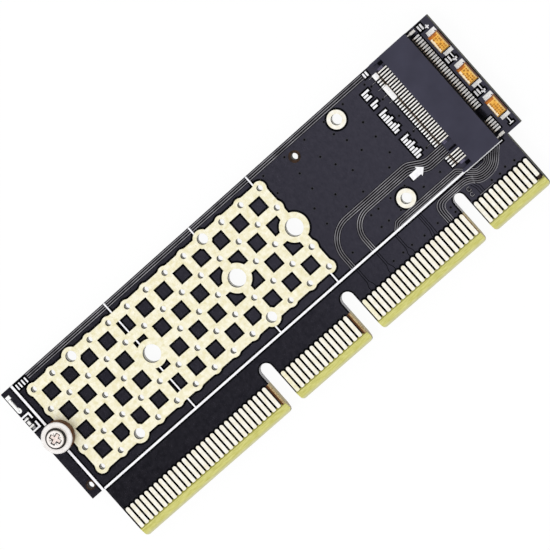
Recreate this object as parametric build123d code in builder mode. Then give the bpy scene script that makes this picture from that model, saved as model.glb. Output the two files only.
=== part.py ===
from build123d import *
import math
import os

os.makedirs("parts", exist_ok=True)

# An adapter card that carries a small plug-in storage module. It lies on its back with
# the socket up. X runs along the card to the capacitor end, Y from the edge fingers to
# the far long edge, and Z up. The origin is at the middle of the card's outline, level
# with the foot of the nut that the card rests on.

# Board
module_end_margin = 2.6
body_width = 21.6
tongue_drop = 10.0
board_thickness = 1.6
tongue_end_margin = 0.25
body_corner_radius = 0.3
inner_corner_radius = 0.6
tongue_corner_radius = 0.6
bevel_length = 1.4
bevel_angle = 20
copper_thickness = 0.05

# Edge fingers and the notches between them
finger_pitch = 1.0
finger_width = 0.7
finger_foot_gap = 0.05
finger_length = 4.05
short_finger_cut = 0.65
last_pin = 82
first_pin_past_key = 12
short_front_pins = (1,)
short_back_pins = (17, 31, 48, 81)
key_from_end = 14.9
key_finger_gap = 3.0
key_width = 1.95
notch_pins = (34, 51)
notch_width = 2.3
notch_shift = 0.3
notch_depth = 8.3

# Cooling grid and the holes
grid_pitch = 4.0
grid_columns = 13
grid_rows = 5
bar_width = 1.65
via_radius = 0.525
via_pad_radius = 1.1
via_sides = 8
module_lengths = (30.0, 42.0, 60.0, 80.0)
standoff_hole_radius = 1.5
standoff_ring_radius = 2.375
sink_hole_radius = 0.92
sink_ring_radius = 1.52
sink_hole_spacing = 28.0
sink_row_spacing = 16.0
tooling_hole_radius = 0.58
tooling_hole_inset = 1.2
tooling_edge_inset = 1.8
tooling_far_inset = 2.75
tooling_socket_gap = 18.5

# Socket
stop_from_end = 6.9
contact_pitch = 0.5
contact_width = 0.25
contact_thickness = 0.15
front_row_count = 37
rear_row_count = 38
key_first_contact = 29
key_contact_count = 4
housing_height = 4.2
housing_side_margin = 1.55
housing_rear_depth = 3.07
jaw_overhang = 2.08
lip_depth = 2.1
lip_height = 1.3
lip_rear_height = 2.2
lip_wall = 0.15
end_wall = 0.5
end_wall_height = 3.4
foot_recess = 0.45
module_clearance = 0.15
module_thickness = 0.8
mouth_flare = 0.5
key_rib_width = 0.9
rear_edge_chamfer = 0.2
foot_length = 0.8
contact_reach = 0.8
rear_riser_height = 2.0
tab_foot_length = 0.85
tab_foot_width = 0.45
tab_strip_width = 0.2
tab_height = 3.6
tab_inset = 0.6

# Standoff, its nut and the clamp screw
standoff_radius = 2.5
standoff_height = 2.4
standoff_edge = 0.15
standoff_shift = 0.2
standoff_bore_radius = 1.0
standoff_bore_depth = 3.0
stud_radius = 1.25
thread_clearance = 0.05
nut_flats = 5.0
nut_height = 1.6
nut_sides = 6
nut_turn = 30
head_radius = 1.72
head_height = 0.85
head_edge_height = 0.4
head_crown_radius = 1.2
shank_length = 2.5
recess_length = 1.8
recess_width = 0.5
recess_depth = 0.45

# Capacitors
capacitor_count = 3
capacitor_spacing = 6.45
capacitor_from_end = 1.08
capacitor_length = 3.3
capacitor_width = 1.9
capacitor_height = 1.6
capacitor_draft = 4
lead_thickness = 0.12
lead_width = 1.2
lead_foot = 0.8
pad_width = 1.6
pad_inner_gap = 0.9
pad_outer_reach = 2.3

# Indicator lamp and its resistor, on the strip past the standoff
strip_inset = 0.55
lamp_length = 3.4
lamp_width = 0.85
lamp_base_height = 0.25
lens_length = 2.1
lens_width = 0.55
lens_height = 0.35
lamp_from_far_edge = 2.55
resistor_length = 1.6
resistor_width = 0.8
resistor_height = 0.45
resistor_end = 0.3
resistor_from_far_edge = 6.2

overrun = 1.0

# Places worked out from the sizes
board_width = body_width + tongue_drop
board_length = stop_from_end + module_lengths[-1] + module_end_margin
right_end = board_length / 2
left_end = -right_end
far_edge = board_width / 2
near_edge = -far_edge
body_edge = far_edge - body_width
line_y = far_edge - body_width / 2
back_z = nut_height
top_z = back_z + board_thickness
key_x = right_end - key_from_end
stop_x = right_end - stop_from_end
standoff_holes = [(stop_x - length, line_y) for length in module_lengths]
grid_right = stop_x - module_lengths[0]
grid_length = grid_pitch * (grid_columns - 1)
grid_width = grid_pitch * (grid_rows - 1)
grid_x = grid_right - grid_length / 2


def pin_x(pin):
    """Centre of an edge finger, counted from the right on either side of the key."""
    if pin < first_pin_past_key:
        return key_x + key_finger_gap / 2 + (first_pin_past_key - 1 - pin) * finger_pitch
    return key_x - key_finger_gap / 2 - (pin - first_pin_past_key) * finger_pitch


def distance(a, b):
    """Distance between two points in the plane of the board."""
    return math.hypot(a[0] - b[0], a[1] - b[1])


tongue_left = pin_x(last_pin) - finger_width / 2 - tongue_end_margin
tongue_right = pin_x(1) + finger_width / 2 + tongue_end_margin
pins = [
    pin
    for pin in range(1, last_pin + 1)
    if all(abs(pin - middle) > 1 for middle in notch_pins)
]
notches = [(key_x, key_width)]
notches += [(pin_x(middle) + notch_shift, notch_width) for middle in notch_pins]

sink_columns = [standoff_holes[1][0] + k * sink_hole_spacing for k in (-1, 0, 1)]
sink_holes = [
    (x, line_y + side * sink_row_spacing / 2) for x in sink_columns for side in (-1, 1)
]
grid_nodes = [
    (grid_right - column * grid_pitch, line_y - grid_width / 2 + row * grid_pitch)
    for column in range(grid_columns)
    for row in range(grid_rows)
]
vias = [
    node
    for node in grid_nodes
    if all(distance(node, hole) > standoff_ring_radius for hole in standoff_holes)
    and all(distance(node, hole) > sink_ring_radius for hole in sink_holes)
]
tooling_holes = [
    (left_end + tooling_hole_inset, body_edge + tooling_edge_inset),
    (stop_x - jaw_overhang - lip_depth - tooling_socket_gap, far_edge - tooling_far_inset),
]

# Socket rows. The far end of each row is its first contact, and the key leaves out four.
keyed_out = range(key_first_contact, key_first_contact + key_contact_count)
front_row_y = [
    line_y + contact_pitch * ((front_row_count - 1) / 2 - i)
    for i in range(front_row_count)
    if i not in keyed_out
]
rear_row_y = [
    line_y + contact_pitch * ((rear_row_count - 1) / 2 - i)
    for i in range(rear_row_count)
    if i not in keyed_out
]
row_middle = (front_row_count + rear_row_count - 2) / 4
key_middle = key_first_contact + (key_contact_count - 1) / 2
key_y = line_y + contact_pitch * (row_middle - key_middle)
housing_half_width = contact_pitch * (rear_row_count - 1) / 2 + housing_side_margin
housing_front = stop_x - jaw_overhang - lip_depth
jaw_front = stop_x - jaw_overhang
housing_rear = stop_x + housing_rear_depth

# Circuit board, with round-ended notches in the tongue and a bevel on both faces. Its
# raised copper is bonded to it: the cooling grid, and a ring round each large hole.
grid_top_z = top_z + copper_thickness
with BuildPart() as circuit_board:
    with BuildSketch(Plane.XY.offset(back_z)) as board_outline:
        with Locations((0, far_edge)):
            Rectangle(board_length, body_width, align=(Align.CENTER, Align.MAX))
        with Locations((tongue_left, near_edge)):
            Rectangle(tongue_right - tongue_left, board_width / 2, align=(Align.MIN, Align.MIN))
        for x, width in notches:
            with Locations((x, near_edge)):
                Rectangle(
                    width,
                    notch_depth - width / 2,
                    align=(Align.CENTER, Align.MIN),
                    mode=Mode.SUBTRACT,
                )
            with Locations((x, near_edge + notch_depth - width / 2)):
                Circle(width / 2, mode=Mode.SUBTRACT)
        tongue_ends = board_outline.vertices().group_by(Axis.Y)[0]
        far_corners = board_outline.vertices().group_by(Axis.Y)[-1]
        step_corners = [
            corner
            for corner in board_outline.vertices().sort_by(Axis.X)
            if abs(corner.Y - body_edge) < copper_thickness
        ]
        fillet(tongue_ends, radius=tongue_corner_radius)
        fillet(step_corners[1:3], radius=inner_corner_radius)
        fillet(far_corners + [step_corners[0], step_corners[-1]], radius=body_corner_radius)
    extrude(amount=board_thickness)
    bevel_drop = (bevel_length + overrun) * math.tan(math.radians(bevel_angle))
    with BuildSketch(Plane.YZ.offset(left_end - overrun)):
        for face_z, side in ((top_z, 1), (back_z, -1)):
            with BuildLine():
                Polyline(
                    (near_edge + bevel_length, face_z),
                    (near_edge - overrun, face_z - side * bevel_drop),
                    (near_edge - overrun, face_z + side * overrun),
                    (near_edge + bevel_length, face_z + side * overrun),
                    close=True,
                )
            make_face()
    extrude(amount=board_length + 2 * overrun, mode=Mode.SUBTRACT)
    with BuildSketch(Plane.XY.offset(top_z)):
        with Locations((grid_x, line_y)):
            Rectangle(grid_length + bar_width, grid_width + bar_width)
            with GridLocations(grid_pitch, grid_pitch, grid_columns, grid_rows):
                RegularPolygon(via_pad_radius, via_sides, major_radius=True)
            with GridLocations(grid_pitch, grid_pitch, grid_columns - 1, grid_rows - 1):
                Rectangle(grid_pitch - bar_width, grid_pitch - bar_width, mode=Mode.SUBTRACT)
        with Locations(*standoff_holes):
            Circle(standoff_ring_radius)
        with Locations(*sink_holes):
            Circle(sink_ring_radius)
    extrude(amount=copper_thickness)
    with BuildSketch(Plane.XY.offset(back_z)):
        with Locations(*vias):
            RegularPolygon(via_radius, via_sides, major_radius=False)
        with Locations(*tooling_holes):
            RegularPolygon(tooling_hole_radius, via_sides, major_radius=False)
    extrude(amount=board_thickness + copper_thickness, mode=Mode.SUBTRACT)
    with Locations(*[(x, y, grid_top_z) for x, y in standoff_holes]):
        Hole(standoff_hole_radius)
    with Locations(*[(x, y, grid_top_z) for x, y in sink_holes]):
        Hole(sink_hole_radius)
circuit_board.part.label = "circuit_board"
export_step(circuit_board.part, "parts/circuit_board.step")

# Gold edge fingers, one row on each face
finger_foot = near_edge + bevel_length + finger_foot_gap
for name, short_pins, face_z in (
    ("gold_fingers_front", short_front_pins, top_z),
    ("gold_fingers_back", short_back_pins, back_z - copper_thickness),
):
    with BuildPart() as gold_fingers:
        with BuildSketch(Plane.XY.offset(face_z)):
            for pin in pins:
                cut = short_finger_cut if pin in short_pins else 0
                with Locations((pin_x(pin), finger_foot + cut)):
                    Rectangle(finger_width, finger_length - cut, align=(Align.CENTER, Align.MIN))
        extrude(amount=copper_thickness)
    gold_fingers.part.label = name
    export_step(gold_fingers.part, f"parts/{name}.step")

# Socket housing: a side profile swept across the card, end walls, and a key rib
slot_floor = top_z + standoff_height - module_clearance
slot_roof = top_z + standoff_height + module_thickness + module_clearance
housing_top = top_z + housing_height
slot_half_width = housing_half_width - end_wall
with BuildPart() as socket_housing:
    with BuildSketch(Plane.XZ.offset(-line_y)):
        with BuildLine():
            Polyline(
                (housing_front, top_z),
                (housing_front, top_z + end_wall_height),
                (jaw_front, top_z + end_wall_height),
                (jaw_front, housing_top),
                (housing_rear - rear_edge_chamfer, housing_top),
                (housing_rear, housing_top - rear_edge_chamfer),
                (housing_rear, top_z),
                close=True,
            )
        make_face()
    extrude(amount=housing_half_width, both=True)
    # Room for the module, open to the front, with a flared mouth over a sloping lip
    with BuildSketch(Plane.XZ.offset(-line_y)):
        with BuildLine():
            Polyline(
                (housing_front - overrun, top_z + lip_height),
                (housing_front, top_z + lip_height),
                (jaw_front, top_z + lip_rear_height),
                (stop_x, slot_floor),
                (stop_x, slot_roof),
                (jaw_front + mouth_flare, slot_roof),
                (jaw_front, slot_roof + mouth_flare),
                (jaw_front, housing_top + overrun),
                (housing_front - overrun, housing_top + overrun),
                close=True,
            )
        make_face()
    extrude(amount=slot_half_width, both=True, mode=Mode.SUBTRACT)
    # Wells for the lower contacts, one each side of the key
    well_front = housing_front + lip_wall
    well_rear = stop_x - contact_reach + contact_thickness
    with BuildSketch(Plane.XY.offset(top_z)):
        for group in (front_row_y[:key_first_contact], front_row_y[key_first_contact:]):
            with Locations(((well_front + well_rear) / 2, (group[0] + group[-1]) / 2)):
                Rectangle(well_rear - well_front, group[0] - group[-1] + 2 * contact_width)
    extrude(amount=slot_floor - top_z + contact_thickness, mode=Mode.SUBTRACT)
    # Recess under the front, so that the contact feet pass beneath the housing
    with Locations((housing_front + lip_wall, line_y, top_z)):
        Box(
            lip_wall + overrun,
            2 * slot_half_width,
            foot_recess,
            align=(Align.MAX, Align.CENTER, Align.MIN),
            mode=Mode.SUBTRACT,
        )
    # Rib that fills the key notch of the module
    with BuildSketch(Plane.XZ.offset(-key_y)):
        with BuildLine():
            Polyline(
                (housing_front + lip_depth / 2, top_z + lip_height),
                (housing_front + lip_depth / 2, slot_floor + module_thickness),
                (jaw_front, slot_roof),
                (stop_x, slot_roof),
                (stop_x, slot_floor),
                (jaw_front, top_z + lip_height),
                close=True,
            )
        make_face()
    extrude(amount=key_rib_width / 2, both=True)
socket_housing.part.label = "socket_housing"
export_step(socket_housing.part, "parts/socket_housing.step")

# Lower contacts: a foot on the board and a spring arm that rises into the slot
arm_start = housing_front - lip_wall
arm_end = stop_x - contact_reach
arm_rise = slot_floor - top_z
with BuildPart() as lower_contacts:
    for y in front_row_y:
        with BuildSketch(Plane.XZ.offset(-y)):
            with BuildLine():
                Polyline(
                    (arm_start - foot_length, top_z),
                    (arm_start, top_z),
                    (arm_end, top_z + arm_rise),
                    (arm_end, top_z + arm_rise + contact_thickness),
                    (arm_start, top_z + contact_thickness),
                    (arm_start - foot_length, top_z + contact_thickness),
                    close=True,
                )
            make_face()
        extrude(amount=contact_width / 2, both=True)
lower_contacts.part.label = "lower_contacts"
export_step(lower_contacts.part, "parts/lower_contacts.step")

# Upper contacts: a foot on the board and a leg up the rear wall
with BuildPart() as upper_contacts:
    for y in rear_row_y:
        with BuildSketch(Plane.XZ.offset(-y)):
            with BuildLine():
                Polyline(
                    (housing_rear, top_z),
                    (housing_rear + contact_thickness + foot_length, top_z),
                    (housing_rear + contact_thickness + foot_length, top_z + contact_thickness),
                    (housing_rear + contact_thickness, top_z + contact_thickness),
                    (housing_rear + contact_thickness, top_z + rear_riser_height),
                    (housing_rear, top_z + rear_riser_height),
                    close=True,
                )
            make_face()
        extrude(amount=contact_width / 2, both=True)
upper_contacts.part.label = "upper_contacts"
export_step(upper_contacts.part, "parts/upper_contacts.step")

# Hold-down tabs: a foot on the board and a strip up the rear wall, near each end
with BuildPart() as hold_down_tabs:
    for side in (-1, 1):
        tab_y = line_y + side * (housing_half_width - tab_inset)
        with Locations((housing_rear, tab_y, top_z)):
            Box(
                contact_thickness + tab_foot_length,
                tab_foot_width,
                contact_thickness,
                align=(Align.MIN, Align.CENTER, Align.MIN),
            )
            Box(
                contact_thickness,
                tab_strip_width,
                tab_height,
                align=(Align.MIN, Align.CENTER, Align.MIN),
            )
hold_down_tabs.part.label = "hold_down_tabs"
export_step(hold_down_tabs.part, "parts/hold_down_tabs.step")

# Capacitors: a moulded body with draft on every side, and a lead bent under each end
capacitor_x = right_end - capacitor_from_end
capacitor_middle = (capacitor_count - 1) / 2
body_foot_z = grid_top_z + lead_thickness
parting_z = (body_foot_z + grid_top_z + capacitor_height) / 2
half_body = grid_top_z + capacitor_height - parting_z
for i in range(capacitor_count):
    capacitor_y = line_y + (i - capacitor_middle) * capacitor_spacing
    body_name = f"capacitor_{i + 1}_body"
    with BuildPart() as capacitor_body:
        with BuildSketch(Plane.XY.offset(parting_z)):
            with Locations((capacitor_x, capacitor_y)):
                Rectangle(capacitor_width, capacitor_length - 2 * lead_thickness)
        extrude(amount=half_body, both=True, taper=capacitor_draft)
    capacitor_body.part.label = body_name
    export_step(capacitor_body.part, f"parts/{body_name}.step")

    leads_name = f"capacitor_{i + 1}_leads"
    with BuildPart() as capacitor_leads:
        with BuildSketch(Plane.YZ.offset(capacitor_x)):
            for side in (-1, 1):
                end_y = capacitor_y + side * capacitor_length / 2
                with BuildLine():
                    Polyline(
                        (end_y, grid_top_z),
                        (end_y, parting_z),
                        (end_y - side * lead_thickness, parting_z),
                        (end_y - side * lead_thickness, body_foot_z),
                        (end_y - side * lead_foot, body_foot_z),
                        (end_y - side * lead_foot, grid_top_z),
                        close=True,
                    )
                make_face()
        extrude(amount=lead_width / 2, both=True)
    capacitor_leads.part.label = leads_name
    export_step(capacitor_leads.part, f"parts/{leads_name}.step")

# Copper pads that the capacitors are soldered to
with BuildPart() as capacitor_pads:
    with BuildSketch(Plane.XY.offset(top_z)):
        for i in range(capacitor_count):
            capacitor_y = line_y + (i - capacitor_middle) * capacitor_spacing
            for side in (-1, 1):
                pad_y = capacitor_y + side * (pad_inner_gap + pad_outer_reach) / 2
                with Locations((capacitor_x, pad_y)):
                    Rectangle(pad_width, pad_outer_reach - pad_inner_gap)
    extrude(amount=copper_thickness)
capacitor_pads.part.label = "capacitor_pads"
export_step(capacitor_pads.part, "parts/capacitor_pads.step")

# Indicator lamp: a base strip with a lens moulded on it
lamp_x = left_end + strip_inset
lamp_y = far_edge - lamp_from_far_edge
with BuildPart() as lamp_base:
    with Locations((lamp_x, lamp_y, top_z)):
        Box(
            lamp_width,
            lamp_length,
            lamp_base_height,
            align=(Align.CENTER, Align.CENTER, Align.MIN),
        )
lamp_base.part.label = "lamp_base"
export_step(lamp_base.part, "parts/lamp_base.step")

with BuildPart() as lamp_lens:
    with Locations((lamp_x, lamp_y, top_z + lamp_base_height)):
        Box(
            lens_width,
            lens_length,
            lens_height,
            align=(Align.CENTER, Align.CENTER, Align.MIN),
        )
lamp_lens.part.label = "lamp_lens"
export_step(lamp_lens.part, "parts/lamp_lens.step")

# Chip resistor for the lamp: a slim body between two wrapped ends
resistor_y = far_edge - resistor_from_far_edge
with BuildPart() as resistor_body:
    with Locations((lamp_x, resistor_y, top_z)):
        Box(
            resistor_width,
            resistor_length - 2 * resistor_end,
            resistor_height,
            align=(Align.CENTER, Align.CENTER, Align.MIN),
        )
resistor_body.part.label = "resistor_body"
export_step(resistor_body.part, "parts/resistor_body.step")

with BuildPart() as resistor_ends:
    for side in (-1, 1):
        with Locations((lamp_x, resistor_y + side * (resistor_length - resistor_end) / 2, top_z)):
            Box(
                resistor_width,
                resistor_end,
                resistor_height,
                align=(Align.CENTER, Align.CENTER, Align.MIN),
            )
resistor_ends.part.label = "resistor_ends"
export_step(resistor_ends.part, "parts/resistor_ends.step")

# Standoff on the ring of the last hole: a round head, a stud through the board, and a
# blind bore for the clamp screw. It sits a little towards the grid in its loose hole.
standoff_x = standoff_holes[-1][0] + standoff_shift
standoff_top_z = grid_top_z + standoff_height
with BuildPart() as standoff:
    with Locations((standoff_x, line_y, grid_top_z)):
        Cylinder(
            standoff_radius, standoff_height, align=(Align.CENTER, Align.CENTER, Align.MIN)
        )
        Cylinder(stud_radius, grid_top_z, align=(Align.CENTER, Align.CENTER, Align.MAX))
    with Locations((standoff_x, line_y, standoff_top_z)):
        Hole(standoff_bore_radius, depth=standoff_bore_depth)
    top_circles = standoff.edges().filter_by(GeomType.CIRCLE).group_by(Axis.Z)[-1]
    chamfer(top_circles.sort_by(SortBy.RADIUS)[-1], length=standoff_edge)
standoff.part.label = "standoff"
export_step(standoff.part, "parts/standoff.step")

# Hexagonal nut on the stud, under the board
with BuildPart() as standoff_nut:
    with BuildSketch(Plane.XY):
        with Locations((standoff_x, line_y)):
            RegularPolygon(nut_flats / 2, nut_sides, major_radius=False, rotation=nut_turn)
            Circle(stud_radius + thread_clearance, mode=Mode.SUBTRACT)
    extrude(amount=nut_height)
standoff_nut.part.label = "standoff_nut"
export_step(standoff_nut.part, "parts/standoff_nut.step")

# Clamp screw: a crowned head with a cross recess, turned down on to the standoff
shank_radius = standoff_bore_radius - thread_clearance
with BuildPart() as clamp_screw:
    with BuildSketch(Plane.XZ.offset(-line_y)):
        with BuildLine():
            Polyline(
                (standoff_x, standoff_top_z - shank_length),
                (standoff_x + shank_radius, standoff_top_z - shank_length),
                (standoff_x + shank_radius, standoff_top_z),
                (standoff_x + head_radius, standoff_top_z),
                (standoff_x + head_radius, standoff_top_z + head_edge_height),
                (standoff_x + head_crown_radius, standoff_top_z + head_height),
                (standoff_x, standoff_top_z + head_height),
                close=True,
            )
        make_face()
    revolve(axis=Axis((standoff_x, line_y, 0), (0, 0, 1)))
    with BuildSketch(Plane.XY.offset(standoff_top_z + head_height)):
        with Locations((standoff_x, line_y)):
            Rectangle(recess_length, recess_width)
            Rectangle(recess_width, recess_length)
    extrude(amount=-recess_depth, mode=Mode.SUBTRACT)
clamp_screw.part.label = "clamp_screw"
export_step(clamp_screw.part, "parts/clamp_screw.step")
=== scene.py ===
# Looks of the adapter card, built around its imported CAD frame.
from math import atan2, copysign, cos, dist, pi, radians, sin, sqrt, tan

import bmesh
import bpy
from mathutils import Matrix, Vector


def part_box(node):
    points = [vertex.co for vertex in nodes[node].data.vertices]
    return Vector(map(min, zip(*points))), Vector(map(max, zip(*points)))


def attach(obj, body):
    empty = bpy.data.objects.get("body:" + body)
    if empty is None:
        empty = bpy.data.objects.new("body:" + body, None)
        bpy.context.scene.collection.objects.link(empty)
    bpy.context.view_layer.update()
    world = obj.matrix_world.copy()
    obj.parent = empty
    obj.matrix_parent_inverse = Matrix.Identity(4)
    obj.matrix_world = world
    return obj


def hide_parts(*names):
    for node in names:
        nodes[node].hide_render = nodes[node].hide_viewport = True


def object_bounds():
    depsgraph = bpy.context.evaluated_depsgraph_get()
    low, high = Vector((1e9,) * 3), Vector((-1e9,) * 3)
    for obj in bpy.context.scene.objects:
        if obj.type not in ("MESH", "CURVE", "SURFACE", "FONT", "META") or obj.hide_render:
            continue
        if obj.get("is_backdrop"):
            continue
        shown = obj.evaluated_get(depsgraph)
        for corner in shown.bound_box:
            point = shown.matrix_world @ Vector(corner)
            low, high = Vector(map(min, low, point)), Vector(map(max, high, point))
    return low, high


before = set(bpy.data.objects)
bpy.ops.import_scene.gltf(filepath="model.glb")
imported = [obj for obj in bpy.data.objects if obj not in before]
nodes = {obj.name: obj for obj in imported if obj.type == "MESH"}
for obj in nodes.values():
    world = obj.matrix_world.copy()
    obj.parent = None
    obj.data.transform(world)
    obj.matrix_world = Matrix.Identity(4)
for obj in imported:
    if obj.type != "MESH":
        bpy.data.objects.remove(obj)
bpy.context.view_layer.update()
body = "root"
scene = bpy.context.scene

# Lengths are in millimetres of the row frame, and are turned to metres when a mesh is made
mm = 0.001


def box_mm(name):
    """Lowest and highest corner of a CAD node, in millimetres."""
    low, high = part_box(name)
    return low / mm, high / mm


# Places read from the frame
board_low, board_high = box_mm("circuit_board")
housing_low, housing_high = box_mm("socket_housing")
lower_low, lower_high = box_mm("lower_contacts")
upper_low, upper_high = box_mm("upper_contacts")
finger_low, finger_high = box_mm("gold_fingers_front")
back_low, back_high = box_mm("gold_fingers_back")
screw_low, screw_high = box_mm("clamp_screw")
copper = 0.05
top_z = board_high.z - copper
back_z = board_low.z
grid_top = board_high.z
line_y = 5.0
stop_x = 37.85
key_x = 29.85

# Sizes of the pattern of fingers, holes and contacts
finger_width = 0.66
finger_corner = 0.12
first_pin_past_key = 12
key_finger_gap = 3.0
last_pin = 82
short_cut = 0.65
short_pins_back = (17, 31, 48, 81)
notch_pins = (34, 51)
notch_half_width = 1.15
key_half_width = 0.975
notch_shift = 0.3
via_radius = 0.525
via_pad_radius = 1.1
grid_pitch = 4.0
grid_columns = 13
grid_rows = 5
bar_half = 0.825
standoff_hole = 1.5
standoff_ring = 2.375
sink_hole = 0.92
sink_ring = 1.52
wall = 0.035
contact_pitch = 0.5
front_count = 37
rear_count = 38
keyed_out = range(29, 33)
last_column, last_row = grid_columns - 1, grid_rows - 1
grid_right = stop_x - 30.0
grid_left = grid_right - last_column * grid_pitch
bevel_top_y = board_low.y + 1.4

# Thin layers: their depth in the ground, their rise above it, and their distance from an edge
sunk = 0.01
film = 0.004
rim = 0.02


def pin_x(pin):
    """Centre of an edge finger."""
    if pin < first_pin_past_key:
        return key_x + key_finger_gap / 2 + (first_pin_past_key - 1 - pin)
    return key_x - key_finger_gap / 2 - (pin - first_pin_past_key)


def node_place(column, row):
    """A node of the grid, counted from the slot's side and from the tongue's."""
    return grid_right - column * grid_pitch, line_y + (row - 2) * grid_pitch


def card(x, y):
    """A place measured from the first column and the middle row of the grid."""
    return grid_left + x, line_y + y


def add_object(name, data):
    """A new object in the scene."""
    obj = bpy.data.objects.new(name, data)
    scene.collection.objects.link(obj)
    return obj


# Mesh helpers
def finish_mesh(bm, name, mats, smooth_angle=35):
    """Turns a bmesh in millimetres into an object that rides on the card."""
    bmesh.ops.remove_doubles(bm, verts=bm.verts, dist=0.0005)
    bmesh.ops.recalc_face_normals(bm, faces=bm.faces)
    for face in bm.faces:
        face.smooth = True
    limit = radians(smooth_angle)
    for edge in bm.edges:
        edge.smooth = edge.is_manifold and edge.calc_face_angle(pi) < limit
    bmesh.ops.scale(bm, vec=(mm, mm, mm), verts=bm.verts)
    mesh = bpy.data.meshes.new(name)
    bm.to_mesh(mesh)
    bm.free()
    for mat in mats:
        mesh.materials.append(mat)
    obj = add_object(name, mesh)
    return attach(obj, body)


def add_rows(bm, rows, mat=0):
    """A closed skin: both end caps, and then the bands between the rows of points."""
    rows = [[bm.verts.new(point) for point in row] for row in rows]
    faces = [bm.faces.new(rows[0]), bm.faces.new(list(reversed(rows[-1])))]
    for near, far in zip(rows, rows[1:]):
        for k in range(len(near)):
            n = (k + 1) % len(near)
            faces.append(bm.faces.new((near[k], far[k], far[n], near[n])))
    for face in faces:
        face.material_index = mat
    return faces


def add_prism(bm, outline, z0, z1, mat=0):
    """A closed prism on an outline of (x, y) points."""
    add_rows(bm, [[(x, y, z) for x, y in outline] for z in (z0, z1)], mat)


def add_box(bm, x0, x1, y0, y1, z0, z1, mat=0):
    """A closed box."""
    add_prism(bm, [(x0, y0), (x1, y0), (x1, y1), (x0, y1)], z0, z1, mat)


def add_pad(bm, x0, x1, y0, y1, rise, mat=0):
    """A low box on the front of the board."""
    add_box(bm, x0, x1, y0, y1, top_z - sunk, top_z + rise, mat)


def way_along(path, i):
    """Direction of a path at one of its points, and the one square to it."""
    ahead = (Vector(path[min(i + 1, len(path) - 1)]) - Vector(path[max(i - 1, 0)])).normalized()
    return ahead, Vector((-ahead.y, ahead.x))


def add_ribbon(bm, points, width, z0, z1, mat=0):
    """A flat strip of one width along a path of (x, y) points."""
    rows = []
    for i, (x, y) in enumerate(points):
        ahead, across = way_along(points, i)
        half = across * width / 2
        if 0 < i < len(points) - 1:
            leg = (Vector(points[i + 1]) - Vector(points[i])).normalized()
            half /= max(abs(leg.dot(ahead)), 0.5)
        rows.append([(x + side * half.x, y + side * half.y, z)
                     for side, z in ((-1, z0), (-1, z1), (1, z1), (1, z0))])
    add_rows(bm, rows, mat)


def add_leaf(bm, path, y, width, thick):
    """A bent strip of sheet metal, along a path of (x, z) points."""
    rows = []
    for i, (x, z) in enumerate(path):
        half = way_along(path, i)[1] * thick / 2
        rows.append([(x + side * half.x, y + end * width / 2, z + side * half.y)
                     for side, end in ((-1, -1), (-1, 1), (1, 1), (1, -1))])
    add_rows(bm, rows)


def add_lathe(bm, profile, x, y, steps, mat=0):
    """A closed profile of (radius, z) points turned round an upright axis."""
    rings = []
    for k in range(steps):
        a = 2 * pi * k / steps
        rings.append([bm.verts.new((x + r * cos(a), y + r * sin(a), z)) for r, z in profile])
    for k in range(steps):
        near, far = rings[k - 1], rings[k]
        for i in range(len(profile)):
            if profile[i - 1][0] or profile[i][0]:
                face = bm.faces.new((near[i - 1], far[i - 1], far[i], near[i]))
                face.material_index = mat


def circle(x, y, radius, steps, start=0.0, turn=360.0):
    """Points on a circle or an arc, in degrees."""
    last = steps if turn < 360 else steps - 1
    angles = [radians(start + turn * k / steps) for k in range(last + 1)]
    return [(x + radius * cos(a), y + radius * sin(a)) for a in angles]


def rounded(points, radius, steps=5):
    """A path with each inner corner turned into an arc."""
    path = [points[0]]
    for i in range(1, len(points) - 1):
        corner = Vector(points[i])
        back = Vector(points[i - 1]) - corner
        ahead = Vector(points[i + 1]) - corner
        reach = radius / tan(back.angle(ahead) / 2)
        reach = min(reach, back.length / 2, ahead.length / 2)
        start = corner + back.normalized() * reach
        end = corner + ahead.normalized() * reach
        for k in range(steps + 1):
            t = k / steps
            point = start * (1 - t) ** 2 + corner * 2 * t * (1 - t) + end * t**2
            path.append((point.x, point.y))
    path.append(points[-1])
    return path


# Material helpers
def srgb(red, green, blue):
    """A colour written as it looks on screen, 0 to 255, with its alpha."""
    shares = [c / 255 for c in (red, green, blue)]
    tones = [s / 12.92 if s <= 0.04045 else ((s + 0.055) / 1.055) ** 2.4 for s in shares]
    return (*tones, 1)


def add_node(tree, kind, inputs=None, **settings):
    """A shader node. Its inputs are given as values, or as sockets to link."""
    node = tree.nodes.new("ShaderNode" + kind)
    for name, value in settings.items():
        setattr(node, name, value)
    for name, value in (inputs or {}).items():
        if isinstance(value, bpy.types.NodeSocket):
            tree.links.new(value, node.inputs[name])
        else:
            node.inputs[name].default_value = value
    return node


def calculate(tree, operation, first, second):
    """The result of a calculation on two values or sockets."""
    return add_node(tree, "Math", {0: first, 1: second}, operation=operation).outputs["Value"]


def between(tree, value, curve="LINEAR", **limits):
    """A value carried from one range to another. A limit that isn't given is 0 or 1."""
    inputs = {name.replace("_", " ").title(): limit for name, limit in limits.items()}
    node = add_node(tree, "MapRange", {"Value": value, **inputs}, interpolation_type=curve)
    return node.outputs["Result"]


def shader_of(mat):
    """The Principled shader of a material."""
    return mat.node_tree.nodes["Principled BSDF"]


def principled(name, color, rough, specular=0.5, metal=0.0):
    """A new material of one colour."""
    mat = bpy.data.materials.new(name)
    mat.use_nodes = True
    inputs = shader_of(mat).inputs
    inputs["Base Color"].default_value = srgb(*color)
    inputs["Roughness"].default_value = rough
    inputs["Metallic"].default_value = metal
    inputs["Specular IOR Level"].default_value = specular
    return mat


def link_to(mat, value, name):
    """Lets a socket drive an input of a material's shader."""
    mat.node_tree.links.new(value, shader_of(mat).inputs[name])


def object_places(mat):
    """The place on the object, in metres, as a vector socket."""
    return mat.node_tree.nodes.new("ShaderNodeTexCoord").outputs["Object"]


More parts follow.
